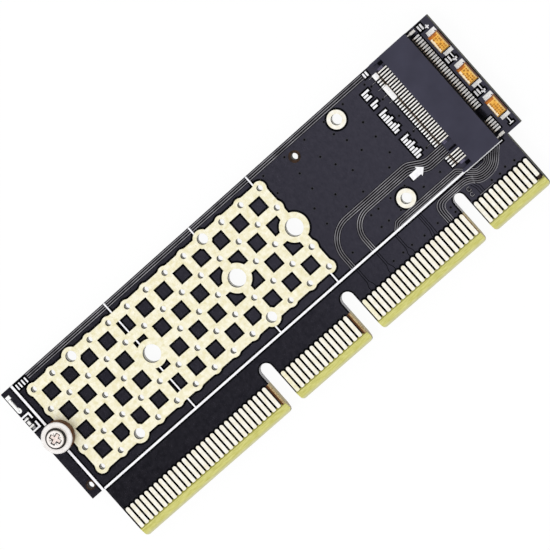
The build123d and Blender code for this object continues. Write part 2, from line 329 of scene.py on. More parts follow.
def noise(mat, scale, detail=3.0, stretch=(1, 1, 1)):
    """A noise pattern whose grain is 1/scale metres."""
    tree = mat.node_tree
    mapping = add_node(tree, "Mapping", {"Scale": stretch, "Vector": object_places(mat)})
    inputs = {"Scale": scale, "Detail": detail, "Vector": mapping.outputs["Vector"]}
    return add_node(tree, "TexNoise", inputs).outputs["Fac"]


def ramp(mat, value, start, dark, end, light):
    """A colour that follows a value from one tone to another."""
    node = add_node(mat.node_tree, "ValToRGB", {"Fac": value})
    for element, place, color in zip(node.color_ramp.elements, (start, end), (dark, light)):
        element.position = place
        element.color = srgb(*color)
    return node.outputs["Color"]


def mixed(tree, share, first, second):
    """A blend of two colours, each a socket or a colour."""
    inputs = {"Factor": share, "A": first, "B": second}
    return add_node(tree, "Mix", inputs, data_type="RGBA").outputs["Result"]


def add_bump(mat, height, depth):
    """Raises the surface by a pattern, depth in millimetres."""
    inputs = {"Strength": 1.0, "Distance": depth * mm, "Height": height}
    link_to(mat, add_node(mat.node_tree, "Bump", inputs).outputs["Normal"], "Normal")


def rough_between(mat, value, low, high):
    """Lets the roughness follow a pattern."""
    link_to(mat, between(mat.node_tree, value, to_min=low, to_max=high), "Roughness")


def tinted(name, rough, grain, dark, light, specular=0.5, metal=0.0, stretch=(1, 1, 1),
           satin=None, lumps=None):
    """A material that drifts between two tones. Satin is the grain and the limits of the
    roughness, and lumps are the grain and the depth of the relief."""
    middle = [(a + b) / 2 for a, b in zip(dark, light)]
    mat = principled(name, middle, rough, specular, metal)
    link_to(mat, ramp(mat, noise(mat, grain, stretch=stretch), 0.3, dark, 0.7, light), "Base Color")
    if satin:
        rough_between(mat, noise(mat, satin[0]), *satin[1:])
    if lumps:
        add_bump(mat, noise(mat, lumps[0]), lumps[1])
    return mat


def below_line(mat, y, color):
    """Gives the part of a surface below a line across the card another colour."""
    tree = mat.node_tree
    split = add_node(tree, "SeparateXYZ", {"Vector": object_places(mat)})
    below = calculate(tree, "LESS_THAN", split.outputs["Y"], y * mm)
    above = shader_of(mat).inputs["Base Color"].links[0].from_socket
    link_to(mat, mixed(tree, below, above, srgb(*color)), "Base Color")
    return split


# Dark solder mask, a little lumpy over the copper below it
mask = tinted("solder_mask", 0.15, 1300, (8, 8, 9), (26, 25, 28), 0.8, satin=(1500, 0.1, 0.2))
shader_of(mask).inputs["Specular Tint"].default_value = (0.74, 0.71, 1.0, 1)
add_bump(mask, noise(mask, 2600, detail=2), 0.004)

# Copper tracks under the same mask, and a dark matte mask: painted shade beside copper, print and
# parts, and the dimples of filled holes
track = tinted("track_mask", 0.4, 500, (92, 90, 95), (144, 142, 147), 0.4)
shade_and_dimples = tinted("mask_painted_shade_and_dimples", 0.7, 3000, (9, 9, 11), (17, 17, 20), 0.0)

# Mask that lies a little higher round a small hole, and bare laminate
halo = tinted("halo_mask", 0.3, 3000, (25, 23, 30), (36, 34, 42), 0.4)
bare = tinted("bare_laminate", 0.6, 2200, (46, 24, 8), (104, 60, 24), 0.2, stretch=(1, 4, 1))
cut = tinted("cut_laminate", 0.6, 1500, (186, 186, 192), (228, 228, 230), 0.3, stretch=(1, 1, 4))
worn_edge = tinted("worn_laminate", 0.6, 1800, (128, 98, 52), (196, 176, 134), 0.2, stretch=(1, 4, 1))
ring_brown = tinted("ring_laminate", 0.6, 2600, (26, 19, 14), (62, 42, 28), 0.2)

# Gold plating with a fine satin grain, paler on the edge fingers
gold = tinted("gold_plate", 0.5, 1700, (236, 228, 188), (254, 250, 230), metal=0.35,
              satin=(5200, 0.42, 0.6), lumps=(7000, 0.002))
pale = tinted("finger_gold", 0.45, 1500, (243, 236, 214), (255, 253, 246), metal=0.35)
along_finger = (3, 1, 1)
rough_between(pale, noise(pale, 5200, stretch=along_finger), 0.36, 0.54)
add_bump(pale, noise(pale, 6000, stretch=along_finger), 0.002)

# Walls of the plated holes: in shade near the top, lit by the floor below
bore_gold = tinted("bore_gold", 0.6, 3000, (24, 21, 9), (60, 55, 30), 0.2)
bore_pale = tinted("bore_pale", 0.7, 3000, (248, 246, 236), (255, 255, 252), 0.1)

# Bare laminate on the bevel of the tongue, its cut fibres, and paler towards its foot
laminate = principled("bevel_laminate", (202, 199, 112), 0.6)
tree = laminate.node_tree
fibre = ramp(laminate, noise(laminate, 900, stretch=(1, 6, 6)), 0.25, (184, 180, 88),
             0.75, (216, 213, 134))
split = add_node(tree, "SeparateXYZ", {"Vector": object_places(laminate)})
paler_foot = between(tree, split.outputs["Y"], from_min=(board_low.y + 0.5) * mm,
               from_max=(board_low.y + 0.05) * mm, to_max=0.75)
link_to(laminate, mixed(tree, paler_foot, fibre, srgb(196, 194, 170)), "Base Color")
add_bump(laminate, noise(laminate, 4200, stretch=(1, 4, 4)), 0.006)

# Cut edge of the board: layers of glass cloth in dark resin
edge = principled("edge_laminate", (92, 92, 80), 0.7, specular=0.3)
layers = noise(edge, 1500, stretch=(0.15, 0.15, 3.5))
link_to(edge, ramp(edge, layers, 0.3, (50, 52, 44), 0.7, (116, 116, 100)), "Base Color")
add_bump(edge, layers, 0.01)

# Printed white ink
ink = tinted("white_ink", 0.65, 1800, (232, 231, 236), (252, 252, 253), 0.3, lumps=(6000, 0.003))

# Moulded socket plastic, with a lighter copy as painted highlight where it catches light, and a black
# copy as painted shade in its wells and on its shaded walls
plastic = tinted("socket_plastic", 0.55, 300, (48, 47, 62), (55, 54, 70), 0.25)
add_bump(plastic, noise(plastic, 5200, detail=4), 0.006)
lit_plastic = tinted("lit_plastic", 0.5, 1500, (80, 76, 98), (106, 102, 126), 0.3)
shade = tinted("plastic_painted_shade", 0.7, 900, (8, 8, 12), (15, 15, 20), 0.03)

# Bright solder, dull grey pads, and tin on leads
solder = tinted("solder", 0.7, 2600, (249, 248, 248), (255, 255, 255), 0.15, satin=(3600, 0.6, 0.8),
                lumps=(3800, 0.004))
grey = tinted("dull_pad", 0.5, 3200, (128, 128, 131), (170, 170, 171), metal=0.2)
tin = tinted("tin", 0.34, 2400, (234, 232, 230), (252, 251, 250), metal=0.3, satin=(3600, 0.22, 0.45),
             lumps=(3800, 0.006))

# Plated spring contacts, and a dark copy as painted shade where they bend down behind the lip and climb
# the rear wall
spring = tinted("spring_plate", 0.4, 1500, (244, 239, 232), (255, 253, 250), metal=0.12,
                satin=(4200, 0.28, 0.44))
spring_painted_shade = tinted("spring_painted_shade", 0.6, 2000, (60, 50, 42), (156, 140, 124), 0.2)

# Capacitor resin, its darker end band, copies with a painted highlight and painted light for its edges
# and painted shade for its side, and the printed marks
resin = tinted("capacitor_resin", 0.42, 1500, (228, 160, 46), (250, 196, 92), 0.45, lumps=(6000, 0.004))
band = tinted("capacitor_band", 0.5, 1800, (168, 90, 20), (212, 128, 44), 0.3)
resin_painted_highlight = tinted("resin_painted_highlight", 0.4, 1600, (253, 228, 186), (255, 244, 220))
resin_painted_light = tinted("resin_painted_light", 0.4, 1600, (250, 192, 92), (255, 220, 140))
resin_painted_shade = tinted("resin_painted_shade", 0.5, 1600, (76, 32, 8), (122, 58, 18), 0.2)
mark = tinted("capacitor_mark", 0.6, 4000, (140, 88, 8), (206, 136, 34))

# Nickel plate of the standoff and its nut, and the bright screw
nickel = tinted("nickel_plate", 0.34, 700, (244, 239, 236), (254, 251, 249), metal=0.3,
                satin=(5000, 0.24, 0.36))
# Standoff's side wall: painted shade with a painted reflection of the gold
turned = tinted("standoff_painted_shade", 0.55, 900, (60, 28, 8), (124, 68, 26), 0.2, stretch=(1, 1, 6))
steel = tinted("screw_steel", 0.3, 1500, (243, 234, 228), (253, 249, 246), metal=0.35,
               satin=(3600, 0.18, 0.34))
# Dark steel as painted shade in the screw's groove and recess, and pink steel as a painted reflection
# deep in the recess
steel_painted_shade = tinted("steel_painted_shade", 0.5, 2600, (22, 19, 18), (56, 50, 47), metal=0.2)
steel_painted_reflection = tinted("steel_painted_reflection", 0.45, 3200, (226, 204, 196), (255, 249, 244), metal=0.1)

# Lamp and resistor
white_base = tinted("lamp_white", 0.55, 1600, (234, 235, 233), (250, 251, 250))
lens = tinted("lamp_resin", 0.25, 700, (246, 246, 241), (255, 255, 254))
ceramic = tinted("resistor_glaze", 0.3, 2400, (18, 17, 22), (34, 33, 38))

# Bands of the board by place: bare laminate by the fingers, and less gloss on the tongue
split = below_line(mask, bevel_top_y + 0.32, (140, 136, 62))
below_line(cut, bevel_top_y + 4.1, (220, 208, 172))
tree = mask.node_tree
dull_side = between(tree, split.outputs["X"], from_min=22 * mm, from_max=0.0, to_max=0.34)
tongue_side = calculate(tree, "LESS_THAN", split.outputs["Y"], (line_y - 11) * mm)
loss = calculate(tree, "MULTIPLY", dull_side, tongue_side)
link_to(mask, calculate(tree, "SUBTRACT", 0.8, loss), "Specular IOR Level")

# Dress the CAD nodes
plain = {
    "socket_housing": plastic,
    "hold_down_tabs": spring,
    "capacitor_pads": tin,
    "standoff": nickel,
    "standoff_nut": nickel,
    "resistor_body": ceramic,
    "resistor_ends": tin,
}
for i in range(1, 4):
    plain[f"capacitor_{i}_leads"] = tin
for name, mat in plain.items():
    nodes[name].data.materials.clear()
    nodes[name].data.materials.append(mat)

board_mesh = nodes["circuit_board"].data
board_mesh.materials.clear()
board_kinds = {"mask": mask, "edge": edge, "bevel": laminate, "copper": gold, "notch": cut}
for mat in board_kinds.values():
    board_mesh.materials.append(mat)
notch_places = [key_x] + [pin_x(middle) + notch_shift for middle in notch_pins]
notch_end = board_low.y + 8.4
for polygon in board_mesh.polygons:
    place = polygon.center / mm
    up = abs(polygon.normal.z)
    if place.z > top_z + copper / 4:
        kind = "copper"
    elif up > 0.98:
        kind = "mask"
    elif up > 0.5:
        kind = "bevel"
    elif place.y < notch_end and any(abs(place.x - x) < notch_half_width + 0.1 for x in notch_places):
        kind = "notch"
    else:
        kind = "edge"
    polygon.material_index = list(board_kinds).index(kind)


def add_finger(bm, pin, foot, tip, z0, z1, mat=0):
    """An edge finger with cut corners at its foot and a round tip."""
    x, half = pin_x(pin), finger_width / 2
    outline = [(x - half, foot + finger_corner), (x - half + finger_corner, foot),
               (x + half - finger_corner, foot), (x + half, foot + finger_corner)]
    add_prism(bm, outline + circle(x, tip - half, half, 10, 0, 180), z0, z1, mat)


# Edge fingers on the front, the first of them short
finger_foot = finger_low.y + 0.12
pins = [p for p in range(1, last_pin + 1) if all(abs(p - m) > 1 for m in notch_pins)]
bm = bmesh.new()
for pin in pins:
    foot = finger_foot + (short_cut if pin == 1 else 0)
    add_finger(bm, pin, foot, finger_high.y, top_z, top_z + copper, 1 if pin + 2 in notch_pins else 0)
fingers = finish_mesh(bm, "edge_fingers_front", [pale, gold])
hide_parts("gold_fingers_front")

# Plated barrels and their rims in every round hole
sink_columns = [stop_x - 42 + k * 28 for k in (-1, 0, 1)]
sinks = [(x, line_y + s * 8) for x in sink_columns for s in (-1, 1)]
stands = [(stop_x - length, line_y) for length in (30, 42, 60, 80)]
grid_nodes = [node_place(c, r) for c in range(grid_columns) for r in range(grid_rows)]
vias = [
    p for p in grid_nodes
    if all(dist(p, q) > standoff_ring for q in stands)
    and all(dist(p, q) > sink_ring for q in sinks)
]
lip = 0.012
back_pad = 0.6
bore_shade = 0.62
bm = bmesh.new()
for places, radius, ring, steps in (
    (vias, via_radius, via_pad_radius, 32),
    (sinks, sink_hole, sink_ring, 48),
    (stands[:3], standoff_hole, standoff_ring, 64),
):
    bore = radius - wall
    back_ring = min(ring, radius + back_pad)
    profile = [
        (bore, back_z - lip), (bore, grid_top - bore_shade), (bore, grid_top),
        (bore + lip, grid_top + lip), (ring - lip, grid_top + lip), (ring, grid_top),
        (ring, grid_top - copper), (radius, grid_top - copper), (radius, back_z),
        (back_ring, back_z), (back_ring, back_z - lip),
    ]
    for x, y in places:
        add_lathe(bm, profile, x, y, steps)
bm.normal_update()
for face in bm.faces:
    middle = face.calc_center_median()
    if abs(face.normal.z) < 0.3 and middle.z < grid_top - copper:
        face.material_index = 1 if middle.z > grid_top - bore_shade else 3
    elif any(dist(middle.xy, hole) < sink_ring + 0.01 for hole in sinks[4:]):
        face.material_index = 2
barrels = finish_mesh(bm, "plated_barrels", [gold, bore_gold, pale, bore_pale])

# Painted shade as dark outlines in the mask round the copper: windows, outer nodes, rings, fingers and
# notches
shade_reach = 0.34
shade_low, shade_high = top_z - sunk, top_z + 0.003
strip_end = 0.3
big_rings = [(x, y, sink_ring) for x, y in sinks] + [(x, y, standoff_ring) for x, y in stands]
tongue_left = pin_x(last_pin) - 0.6
tongue_right = pin_x(1) + 0.55
notches = list(zip(notch_places, (key_half_width, notch_half_width, notch_half_width)))
tongue_sides = [tongue_left, tongue_right] + [x + s * half for x, half in notches for s in (-1, 1)]
bm = bmesh.new()


def add_shade_strip(start, end, across):
    """A strip of painted shade along one side of a window, left out where a large ring lies."""
    start, end = Vector(start), Vector(end)
    pieces = 24
    run = []
    for k in range(pieces + 1):
        middle = start.lerp(end, (k + 0.5) / pieces)
        if k < pieces and all(dist(middle, (x, y)) > r - 0.05 for x, y, r in big_rings):
            run.append(k)
        elif run:
            a = start.lerp(end, run[0] / pieces)
            b = start.lerp(end, (run[-1] + 1) / pieces)
            xs = sorted((a.x, b.x + across[0]))
            ys = sorted((a.y, b.y + across[1]))
            add_box(bm, *xs, *ys, shade_low, shade_high)
            run = []


for pin in pins:
    x = pin_x(pin)
    half = finger_width / 2 + shade_reach
    foot = bevel_top_y + 0.33
    left = max(side for side in tongue_sides if side < x) + rim
    right = min(side for side in tongue_sides if side > x) - rim
    outline = [(x - half, foot), (x + half, foot)]
    outline += circle(x, finger_high.y - finger_width / 2, half, 10, 0, 180)
    add_prism(bm, [(min(max(px, left), right), py) for px, py in outline], shade_low, shade_high)
for x, y in grid_nodes[:-grid_rows]:
    x0, x1 = x - grid_pitch + bar_half, x - bar_half
    y0, y1 = y + bar_half, y + grid_pitch - bar_half
    if y < line_y + 7:
        for side_x, side_y, inward in ((x0, y0, shade_reach), (x1, y1, -shade_reach)):
            add_shade_strip((x0, side_y), (x1, side_y), (0, inward))
            add_shade_strip((side_x, y0), (side_x, y1), (inward, 0))
    if abs(y - line_y) > 7:
        out = copysign(1, y - line_y)
        side_y = y + out * bar_half
        add_shade_strip((x0 - strip_end, side_y), (x1 + strip_end, side_y), (0, out * shade_reach))
for y in (node_place(0, r)[1] for r in range(last_row)):
    for x, out in ((grid_right, 1), (grid_left, -1)):
        side_x = x + out * bar_half
        add_shade_strip((side_x, y + bar_half - strip_end),
                      (side_x, y + grid_pitch - bar_half + strip_end), (out * shade_reach, 0))
rims = [(x, y, via_pad_radius) for x, y in vias
        if abs(y - line_y) > 7 or x > grid_right - 1 or x < grid_left + 1]
for x, y, radius in rims + big_rings[:-1]:
    inner = radius - 0.03
    add_lathe(bm, [(inner, shade_low), (radius + shade_reach, shade_low), (radius + shade_reach, shade_high),
                   (inner, shade_high)], x, y, 40)
notch_top = line_y - 12.5
notch_line = 0.26
for x, half in notches:
    reach = half + notch_line / 2
    path = [(x - reach, bevel_top_y + 4.1)] + circle(x, notch_top - half, reach, 24, 180, -180)
    add_ribbon(bm, path + [(x + reach, bevel_top_y + 4.6)], notch_line, shade_low, shade_high)
finish_mesh(bm, "mask_painted_shade", [shade_and_dimples])

# Copper tracks, seen as low ridges in the mask, and strips of painted shade beside them
track_width = 0.13
track_rise = 0.025
shade_strip_width = 0.36
fine_width = 0.1
print_line = -10.62
pair_start = -11.1
finger_line = -15.1
bm = bmesh.new()


def lay_track(points, bend=0.5, width=track_width, mat=0, shade_strip=shade_strip_width):
    """One ridge along a path of card places, on a strip of painted shade."""
    path = [card(x, y) for x, y in (rounded(points, bend) if bend else points)]
    add_ribbon(bm, path, width, top_z - sunk, top_z + track_rise, mat)
    if shade_strip:
        add_ribbon(bm, path, shade_strip, top_z - sunk, top_z + film, 1)


# The wide bundle from the slot: six tracks that swing down in two groups of three
for k in range(6):
    run_y = -3.87 - 0.35 * k
    turn_x, turn_y = (55.0, -8.5) if k < 3 else (58.3, -8.6)
    reach = run_y - turn_y
    path = [(73.6, -5.42 - 0.356 * k), (70.0 - 0.1 * k, -5.42 - 0.356 * k), (67.4 - 0.1 * k, run_y)]
    path = rounded(path + [(turn_x + 0.6, run_y)], 2.4, 8)
    path += circle(turn_x, turn_y, reach, 20, 90, 90)
    lay_track(path + [(turn_x - reach, print_line)], 0)

# The narrow bundle beside the printed line
for k in range(4):
    run_y = -9.55 - 0.33 * k
    lay_track([(59.3 + 0.42 * k, print_line), (60.4 + 0.14 * k, run_y), (72.6 - 0.12 * k, run_y),
               (73.75 - 0.45 * k, print_line)], 0.9)

# Nested tracks over the key notch, and the bowls that they run into
bowl_bottom = -13.9
bowl_top = -11.2
bowl_step = 0.32
for j in range(8):
    low_y = bowl_bottom + bowl_step * j
    low_x = 74.3 + 0.1 * j
    far_x = 77.5 - 0.12 * j
    rise = bowl_top - low_y
    path = [(low_x, low_y), (far_x, low_y), (far_x + rise, bowl_top)]
    if j < 4:
        start_x = 66.35 + 0.35 * (3 - j)
        run_y = -11.47 - 0.31 * (3 - j)
        path = [(start_x, -15.05), (start_x, run_y), (low_x - (run_y - low_y), run_y)] + path
    else:
        path = [(low_x - rise, bowl_top)] + path
    lay_track(path, 3.4, shade_strip=shade_strip_width if j else shade_strip_width / 2)

# Pairs that run from the printed line to the finger tips
for middle in (50.95, 55.0, 59.0):
    for side in (-1, 1):
        near, far = middle + side * 0.17, middle + side * 0.5
        lay_track([(near, pair_start), (near, -13.7), (far, -14.5), (far, finger_line)],
                  0.5, fine_width, 1, 0)
for k in range(3):
    x = 63.45 + 0.33 * k
    lay_track([(x, pair_start), (x, -13.9), (63.05 + 0.5 * k, finger_line)], 0.8, fine_width, 1, 0)

# Short curls beside the key notch
for x, y, size in ((72.16, -13.24, 0.34), (72.03, -14.15, 0.3)):
    lay_track(circle(x, y, size, 20, 40, 280), 0, 0.11, 0, 0.32)
for k in range(3):
    x = 73.1 + 0.4 * k
    lay_track([(x - 0.35, -12.9 - 0.1 * k), (x, -13.9), (x, -15.0)], 0.4, fine_width, 1, 0)

# Three tracks beside the far long edge
for y in (10.58, 10.24, 9.87):
    lay_track([(0.6, y), (71.3, y)], 0)

# Stubs beside the slot, each with its own small hole
for y in (9.2, 8.3, 7.0, 5.7, 4.5, -0.9, -4.2):
    lay_track([(71.75, y), (72.45, y)], 0, 0.08, 0, 0.24)
lay_track([(72.9, -15.05), (75.6, -15.05)], 0, fine_width)
finish_mesh(bm, "mask_tracks", [track, shade_and_dimples])

# Small filled holes between the tracks
small_holes = [
    (49.6, 5.6), (54.2, 5.6), (54.1, 2.6), (49.7, 9.0), (54.1, 9.0), (58.2, 8.95),
    (58.3, 5.4), (63.1, 4.6), (62.2, 6.6), (62.3, 9.0), (66.3, 9.1), (66.8, 5.0),
    (66.8, 2.1), (63.8, 2.0), (59.3, 3.0), (60.7, 0.6), (56.2, -0.4), (52.3, 0.1),
    (52.2, -2.9), (56.2, -2.9), (59.7, -2.9), (65.2, -2.8), (66.8, -1.1), (71.6, 2.1),
    (71.7, -1.1), (58.2, -6.4), (59.7, -6.4), (62.2, -6.4), (65.1, -6.4), (67.2, -8.45),
    (70.6, -8.4), (52.2, -8.8), (58.2, -8.8), (59.7, -8.8), (62.2, -8.8), (71.5, -4.3),
    (70.8, 9.1), (71.4, 8.2), (71.4, 5.6), (68.2, -13.5), (68.3, -14.5), (65.1, -14.0),
    (62.3, -14.1), (59.9, -13.9), (58.1, -13.9), (56.1, -13.9), (72.2, -13.4),
    (75.7, -14.5), (77.3, -14.6), (78.6, -14.3), (80.3, -14.5),
]
bm = bmesh.new()
dot = 0.17
dot_rim = dot + 0.08
for hole in small_holes:
    profile = [(0, top_z - sunk), (dot, top_z - sunk), (dot, top_z + 0.006), (0, top_z + 0.002)]
    add_lathe(bm, profile, *card(*hole), 16)
    profile = [(dot, top_z - sunk), (dot_rim, top_z - sunk), (dot_rim, top_z + 0.002),
               (dot, top_z + 0.02)]
    add_lathe(bm, profile, *card(*hole), 16, 1)
finish_mesh(bm, "filled_holes", [shade_and_dimples, halo])

# Bare dark rings round the two tooling holes, and a round wall inside each
bm = bmesh.new()
liner = 0.55
liner_out = liner + 0.05
ring_rise = 0.006
for x, y, reach in (
    (stop_x - 22.68, board_high.y - 2.75, 0.98), (board_low.x + 1.2, board_high.y - 19.8, 0.8),
):
    profile = [(liner, back_z - ring_rise), (reach, back_z - ring_rise), (reach, back_z + sunk),
               (liner_out, back_z + sunk), (liner_out, top_z - sunk), (reach, top_z - sunk),
               (reach, top_z + ring_rise), (liner, top_z + ring_rise)]
    add_lathe(bm, profile, x, y, 40)
finish_mesh(bm, "tooling_rings", [ring_brown])

# Printed lines, arrow and marks. Where the card is lettered, plain bars stand instead.
ink_rise = 0.034
ink_shade_reach = 0.3
body_edge = board_low.y + 10
bm = bmesh.new()
dark_bm = bmesh.new()


def printed(x0, x1, y0, y1):
    """A printed bar between two card places, and painted shade round it."""
    (ax, ay), (bx, by) = card(x0, y0), card(x1, y1)
    add_pad(bm, ax, bx, ay, by, ink_rise)
    shoulder = body_edge + rim if ax < tongue_left else ay - ink_shade_reach
    end = board_low.x if ax < tongue_left or ay - ink_shade_reach > body_edge else tongue_left
    add_box(dark_bm, max(ax - ink_shade_reach, end + rim), min(bx + ink_shade_reach, board_high.x - rim),
            max(ay - ink_shade_reach, shoulder), min(by + ink_shade_reach, board_high.y - rim), shade_low, shade_high)


def clear_of_rings(x, y0, y1):
    """Shortens an upright line whose end would lie inside a large ring."""
    place_x, place_y = card(x, 0)
    for ring_x, ring_y, radius in big_rings:
        if abs(place_x - ring_x) < radius:
            reach = sqrt(radius**2 - (place_x - ring_x) ** 2) - 0.05
            low, high = ring_y - place_y - reach, ring_y - place_y + reach
            if low < y0 < high:
                y0 = high
            if low < y1 < high:
                y1 = low
    return y0, y1


# Frame lines: at the card's end, across the grid and along it
frame_end, frame_top, frame_bottom = -2.4, 10.75, -10.65
line_half, thin_half = 0.2, 0.12
for y0, y1 in ((2.62, frame_top), (-10.8, -2.62)):
    printed(frame_end - line_half, frame_end + line_half, y0, y1)
window = grid_pitch - 2 * bar_half
window_start = -2 * grid_pitch + 0.83
grid_edge = 8.83
for x in (17.5, 35.5, 47.5):
    spans = [(frame_bottom, -grid_edge), (grid_edge, frame_top)]
    if x == 17.5 or 0.25 < x % grid_pitch / grid_pitch < 0.75:
        starts = [window_start + r * grid_pitch for r in range(last_row)]
        spans += [(y, y + window) for y in starts]
    for span in spans:
        printed(x - thin_half, x + thin_half, *clear_of_rings(x, *span))
printed(-2.05, 73.65, -11.0, frame_bottom)
printed(73.65, 80.95, -11.06, -10.9)

# Arrow, and three crosses beside the capacitors
arrow = [(66.65, -5.66), (66.65, -6.72), (68.2, -6.72), (68.2, -7.12), (69.22, -6.18),
         (68.2, -5.26), (68.2, -5.66)]
add_prism(bm, [card(x, y) for x, y in arrow], top_z - sunk, top_z + ink_rise)
# Painted shade round the arrow
middle = Vector((67.9, -6.19))
wider = [middle + 1.2 * (Vector(point) - middle) for point in arrow]
add_prism(dark_bm, [card(*point) for point in wider], shade_low, shade_high)
arm_half, arm_thick = 0.34, 0.1
turn = [(arm_half, arm_thick), (arm_thick, arm_thick), (arm_thick, arm_half)]
for y in (9.4, 2.95, -3.55):
    cross = []
    for sx, sy in ((1, 1), (-1, 1), (-1, -1), (1, -1)):
        for dx, dy in turn if sx * sy > 0 else reversed(turn):
            cross.append(card(83.85 + sx * dx, y + sy * dy))
    add_prism(bm, cross, top_z - sunk, top_z + ink_rise)

# Ticks and bars in place of the lettering
for y in (4.22, -2.28, -8.78):
    printed(83.76, 83.92, y - 1.05, y)
    printed(83.45, 84.22, y - 1.2, y - 1.05)
for x, y0, y1 in ((-4.58, 5.72, 6.0), (-4.58, 3.0, 3.28), (-3.35, 4.85, 5.72), (-3.35, 3.28, 4.2)):
    printed(x, -3.05, y0, y1)
for first, count in ((8.3, 3), (6.2, 2), (4.25, 8), (-0.75, 8)):
    for k in range(count):
        y = first - k * 0.5
        printed(69.35, (70.75, 70.2, 70.45)[k % 3], y - 0.33, y)
for x, y0, y1 in ((71.5, 9.75, 10.55), (82.55, 3.0, 3.95), (82.55, 9.45, 10.4),
                  (82.55, -3.6, -2.65)):
    for k in range(2):
        printed(x + 0.5 * k, x + 0.5 * k + 0.3, y0, y1)
for k in range(4):
    printed(-1.85 + 0.6 * k, -1.6 + 0.6 * k, 9.45, 10.4)
finish_mesh(dark_bm, "print_painted_shade", [shade_and_dimples])
finish_mesh(bm, "white_print", [ink])


def contact_row(count):
    """Places of a row of contacts along the slot, without those at the key."""
    return [line_y + contact_pitch * ((count - 1) / 2 - i) for i in range(count) if i not in keyed_out]


# Spring contacts of the slot: a foot, a bend behind the lip and an arm up into the mouth
front_y, rear_y = contact_row(front_count), contact_row(rear_count)
key_at = keyed_out.start
front_groups = (front_y[:key_at], front_y[key_at:])
rear_groups = (rear_y[:key_at], rear_y[key_at:])
front_x = housing_low.x
jaw_front = stop_x - 2.08
leaf = 0.13
arm_width = 0.22
foot_z = top_z + leaf / 2 + 0.01
bend_x = front_x - 0.09
arm = rounded([
    (lower_low.x, foot_z), (front_x - 0.3, foot_z), (bend_x, top_z + 0.4),
    (bend_x, top_z + 1.3), (front_x + 0.1, top_z + 1.4), (jaw_front, top_z + 2.0),
    (lower_high.x - 0.15, lower_high.z - leaf),
], 0.22, 3)
arm.insert(1, (front_x - 0.6, foot_z))
bm = bmesh.new()
for y in front_y:
    add_leaf(bm, arm, y, arm_width, leaf)
# The bend behind the lip takes the painted shade
for face in bm.faces:
    if front_x - 0.6 < face.calc_center_median().x < front_x - 0.01:
        face.material_index = 1
springs = finish_mesh(bm, "slot_springs", [spring, spring_painted_shade], 50)
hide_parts("lower_contacts")

# Painted shade as dark ground under and round the feet
bm = bmesh.new()
for groups, x0, x1 in (
    (front_groups, lower_low.x - 0.62, front_x - 0.02),
    (rear_groups, housing_high.x + 0.02, upper_high.x + 0.34),
):
    for ys in groups:
        add_pad(bm, x0, x1, ys[-1] - 0.36, ys[0] + 0.36, 0.012)
finish_mesh(bm, "slot_painted_shade", [shade_and_dimples])

# Ribs between the springs, black with painted shade
bm = bmesh.new()
rib_half = 0.13
rib_front, rib_rear = front_x - 0.03, jaw_front + 0.3
side = [(rib_front, top_z + 0.5), (rib_front, top_z + 1.31), (rib_rear, top_z + 1.96),
        (rib_rear, top_z + 0.5)]
for i in range(front_count - 1):
    if i not in keyed_out and i + 1 not in keyed_out:
        y = line_y + contact_pitch * ((front_count - 1) / 2 - i - 0.5)
        add_rows(bm, [[(x, y + s * rib_half, z) for x, z in side] for s in (-1, 1)])
finish_mesh(bm, "slot_ribs", [shade])

# Pads and solder under the feet of the springs
pad_rise = 0.045
foot_end = lower_low.x
fillet = [(foot_end - 0.3, top_z), (foot_end - 0.12, top_z + 0.07), (foot_end, top_z + 0.145),
          (foot_end + 0.1, top_z + 0.15)]
bm = bmesh.new()
for y in front_y:
    add_pad(bm, foot_end - 0.36, front_x - 0.35, y - 0.12, y + 0.12, pad_rise)
    add_leaf(bm, fillet, y, 0.22, 0.05)
for y0, y1 in ((8.5, 9.35), (4.45, 6.85)):
    (ax, ay), (bx, by) = card(72.5, y0), card(73.38, y1)
    add_pad(bm, ax, bx, ay, by, 0.15)
finish_mesh(bm, "slot_pads_front", [solder])

# Rear contacts: a foot on the board and a leg with a round bend up the rear wall
leg_x = upper_low.x + leaf / 2
leg = rounded([(upper_high.x, foot_z), (leg_x + 0.02, foot_z), (leg_x, upper_high.z - 0.02)], 0.2, 4)
leg.insert(-1, (leg_x, top_z + 0.9))
bm = bmesh.new()
for y in rear_y:
    add_leaf(bm, leg, y, arm_width, leaf)
# The leg up the rear wall takes the painted shade
for face in bm.faces:
    if face.calc_center_median().z > top_z + 0.9:
        face.material_index = 1
legs = finish_mesh(bm, "rear_contacts", [spring, spring_painted_shade], 50)
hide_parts("upper_contacts")
fillet = [(upper_high.x - 0.12, top_z + 0.16), (upper_high.x, top_z + 0.14),
          (upper_high.x + 0.1, top_z + 0.05)]
bm = bmesh.new()
for y in rear_y:
    add_pad(bm, upper_low.x + 0.35, upper_high.x + 0.12, y - 0.155, y + 0.155, pad_rise + 0.1)
    add_leaf(bm, fillet, y, 0.3, 0.05)
finish_mesh(bm, "slot_pads_rear", [solder])

# Rear wall of the housing in painted shade, and thin patches on the lip at the ends and by the key rib:
# painted shadows, with painted highlights beside them
housing_mesh = nodes["socket_housing"].data
housing_mesh.materials.append(shade)
for polygon in housing_mesh.polygons:
    if polygon.normal.x > 0.7 and polygon.center.x > (housing_high.x - 0.5) * mm:
        polygon.material_index = 1
bm = bmesh.new()
rib_y = line_y + contact_pitch * ((front_count + rear_count - 2) / 4 - 30.5)
lip_top = top_z + 1.3
lip_slope = 0.9 / 2.1


def add_lip_patch(x0, x1, y0, y1, lift, mat):
    """A thin slab that lies on the sloping lip of the housing."""
    corners = [(x0, y0), (x1, y0), (x1, y1), (x0, y1)]
    add_rows(bm, [[(x, y, lip_top + (x - front_x) * lip_slope + rise) for x, y in corners]
                  for rise in (-0.02, lift)], mat)


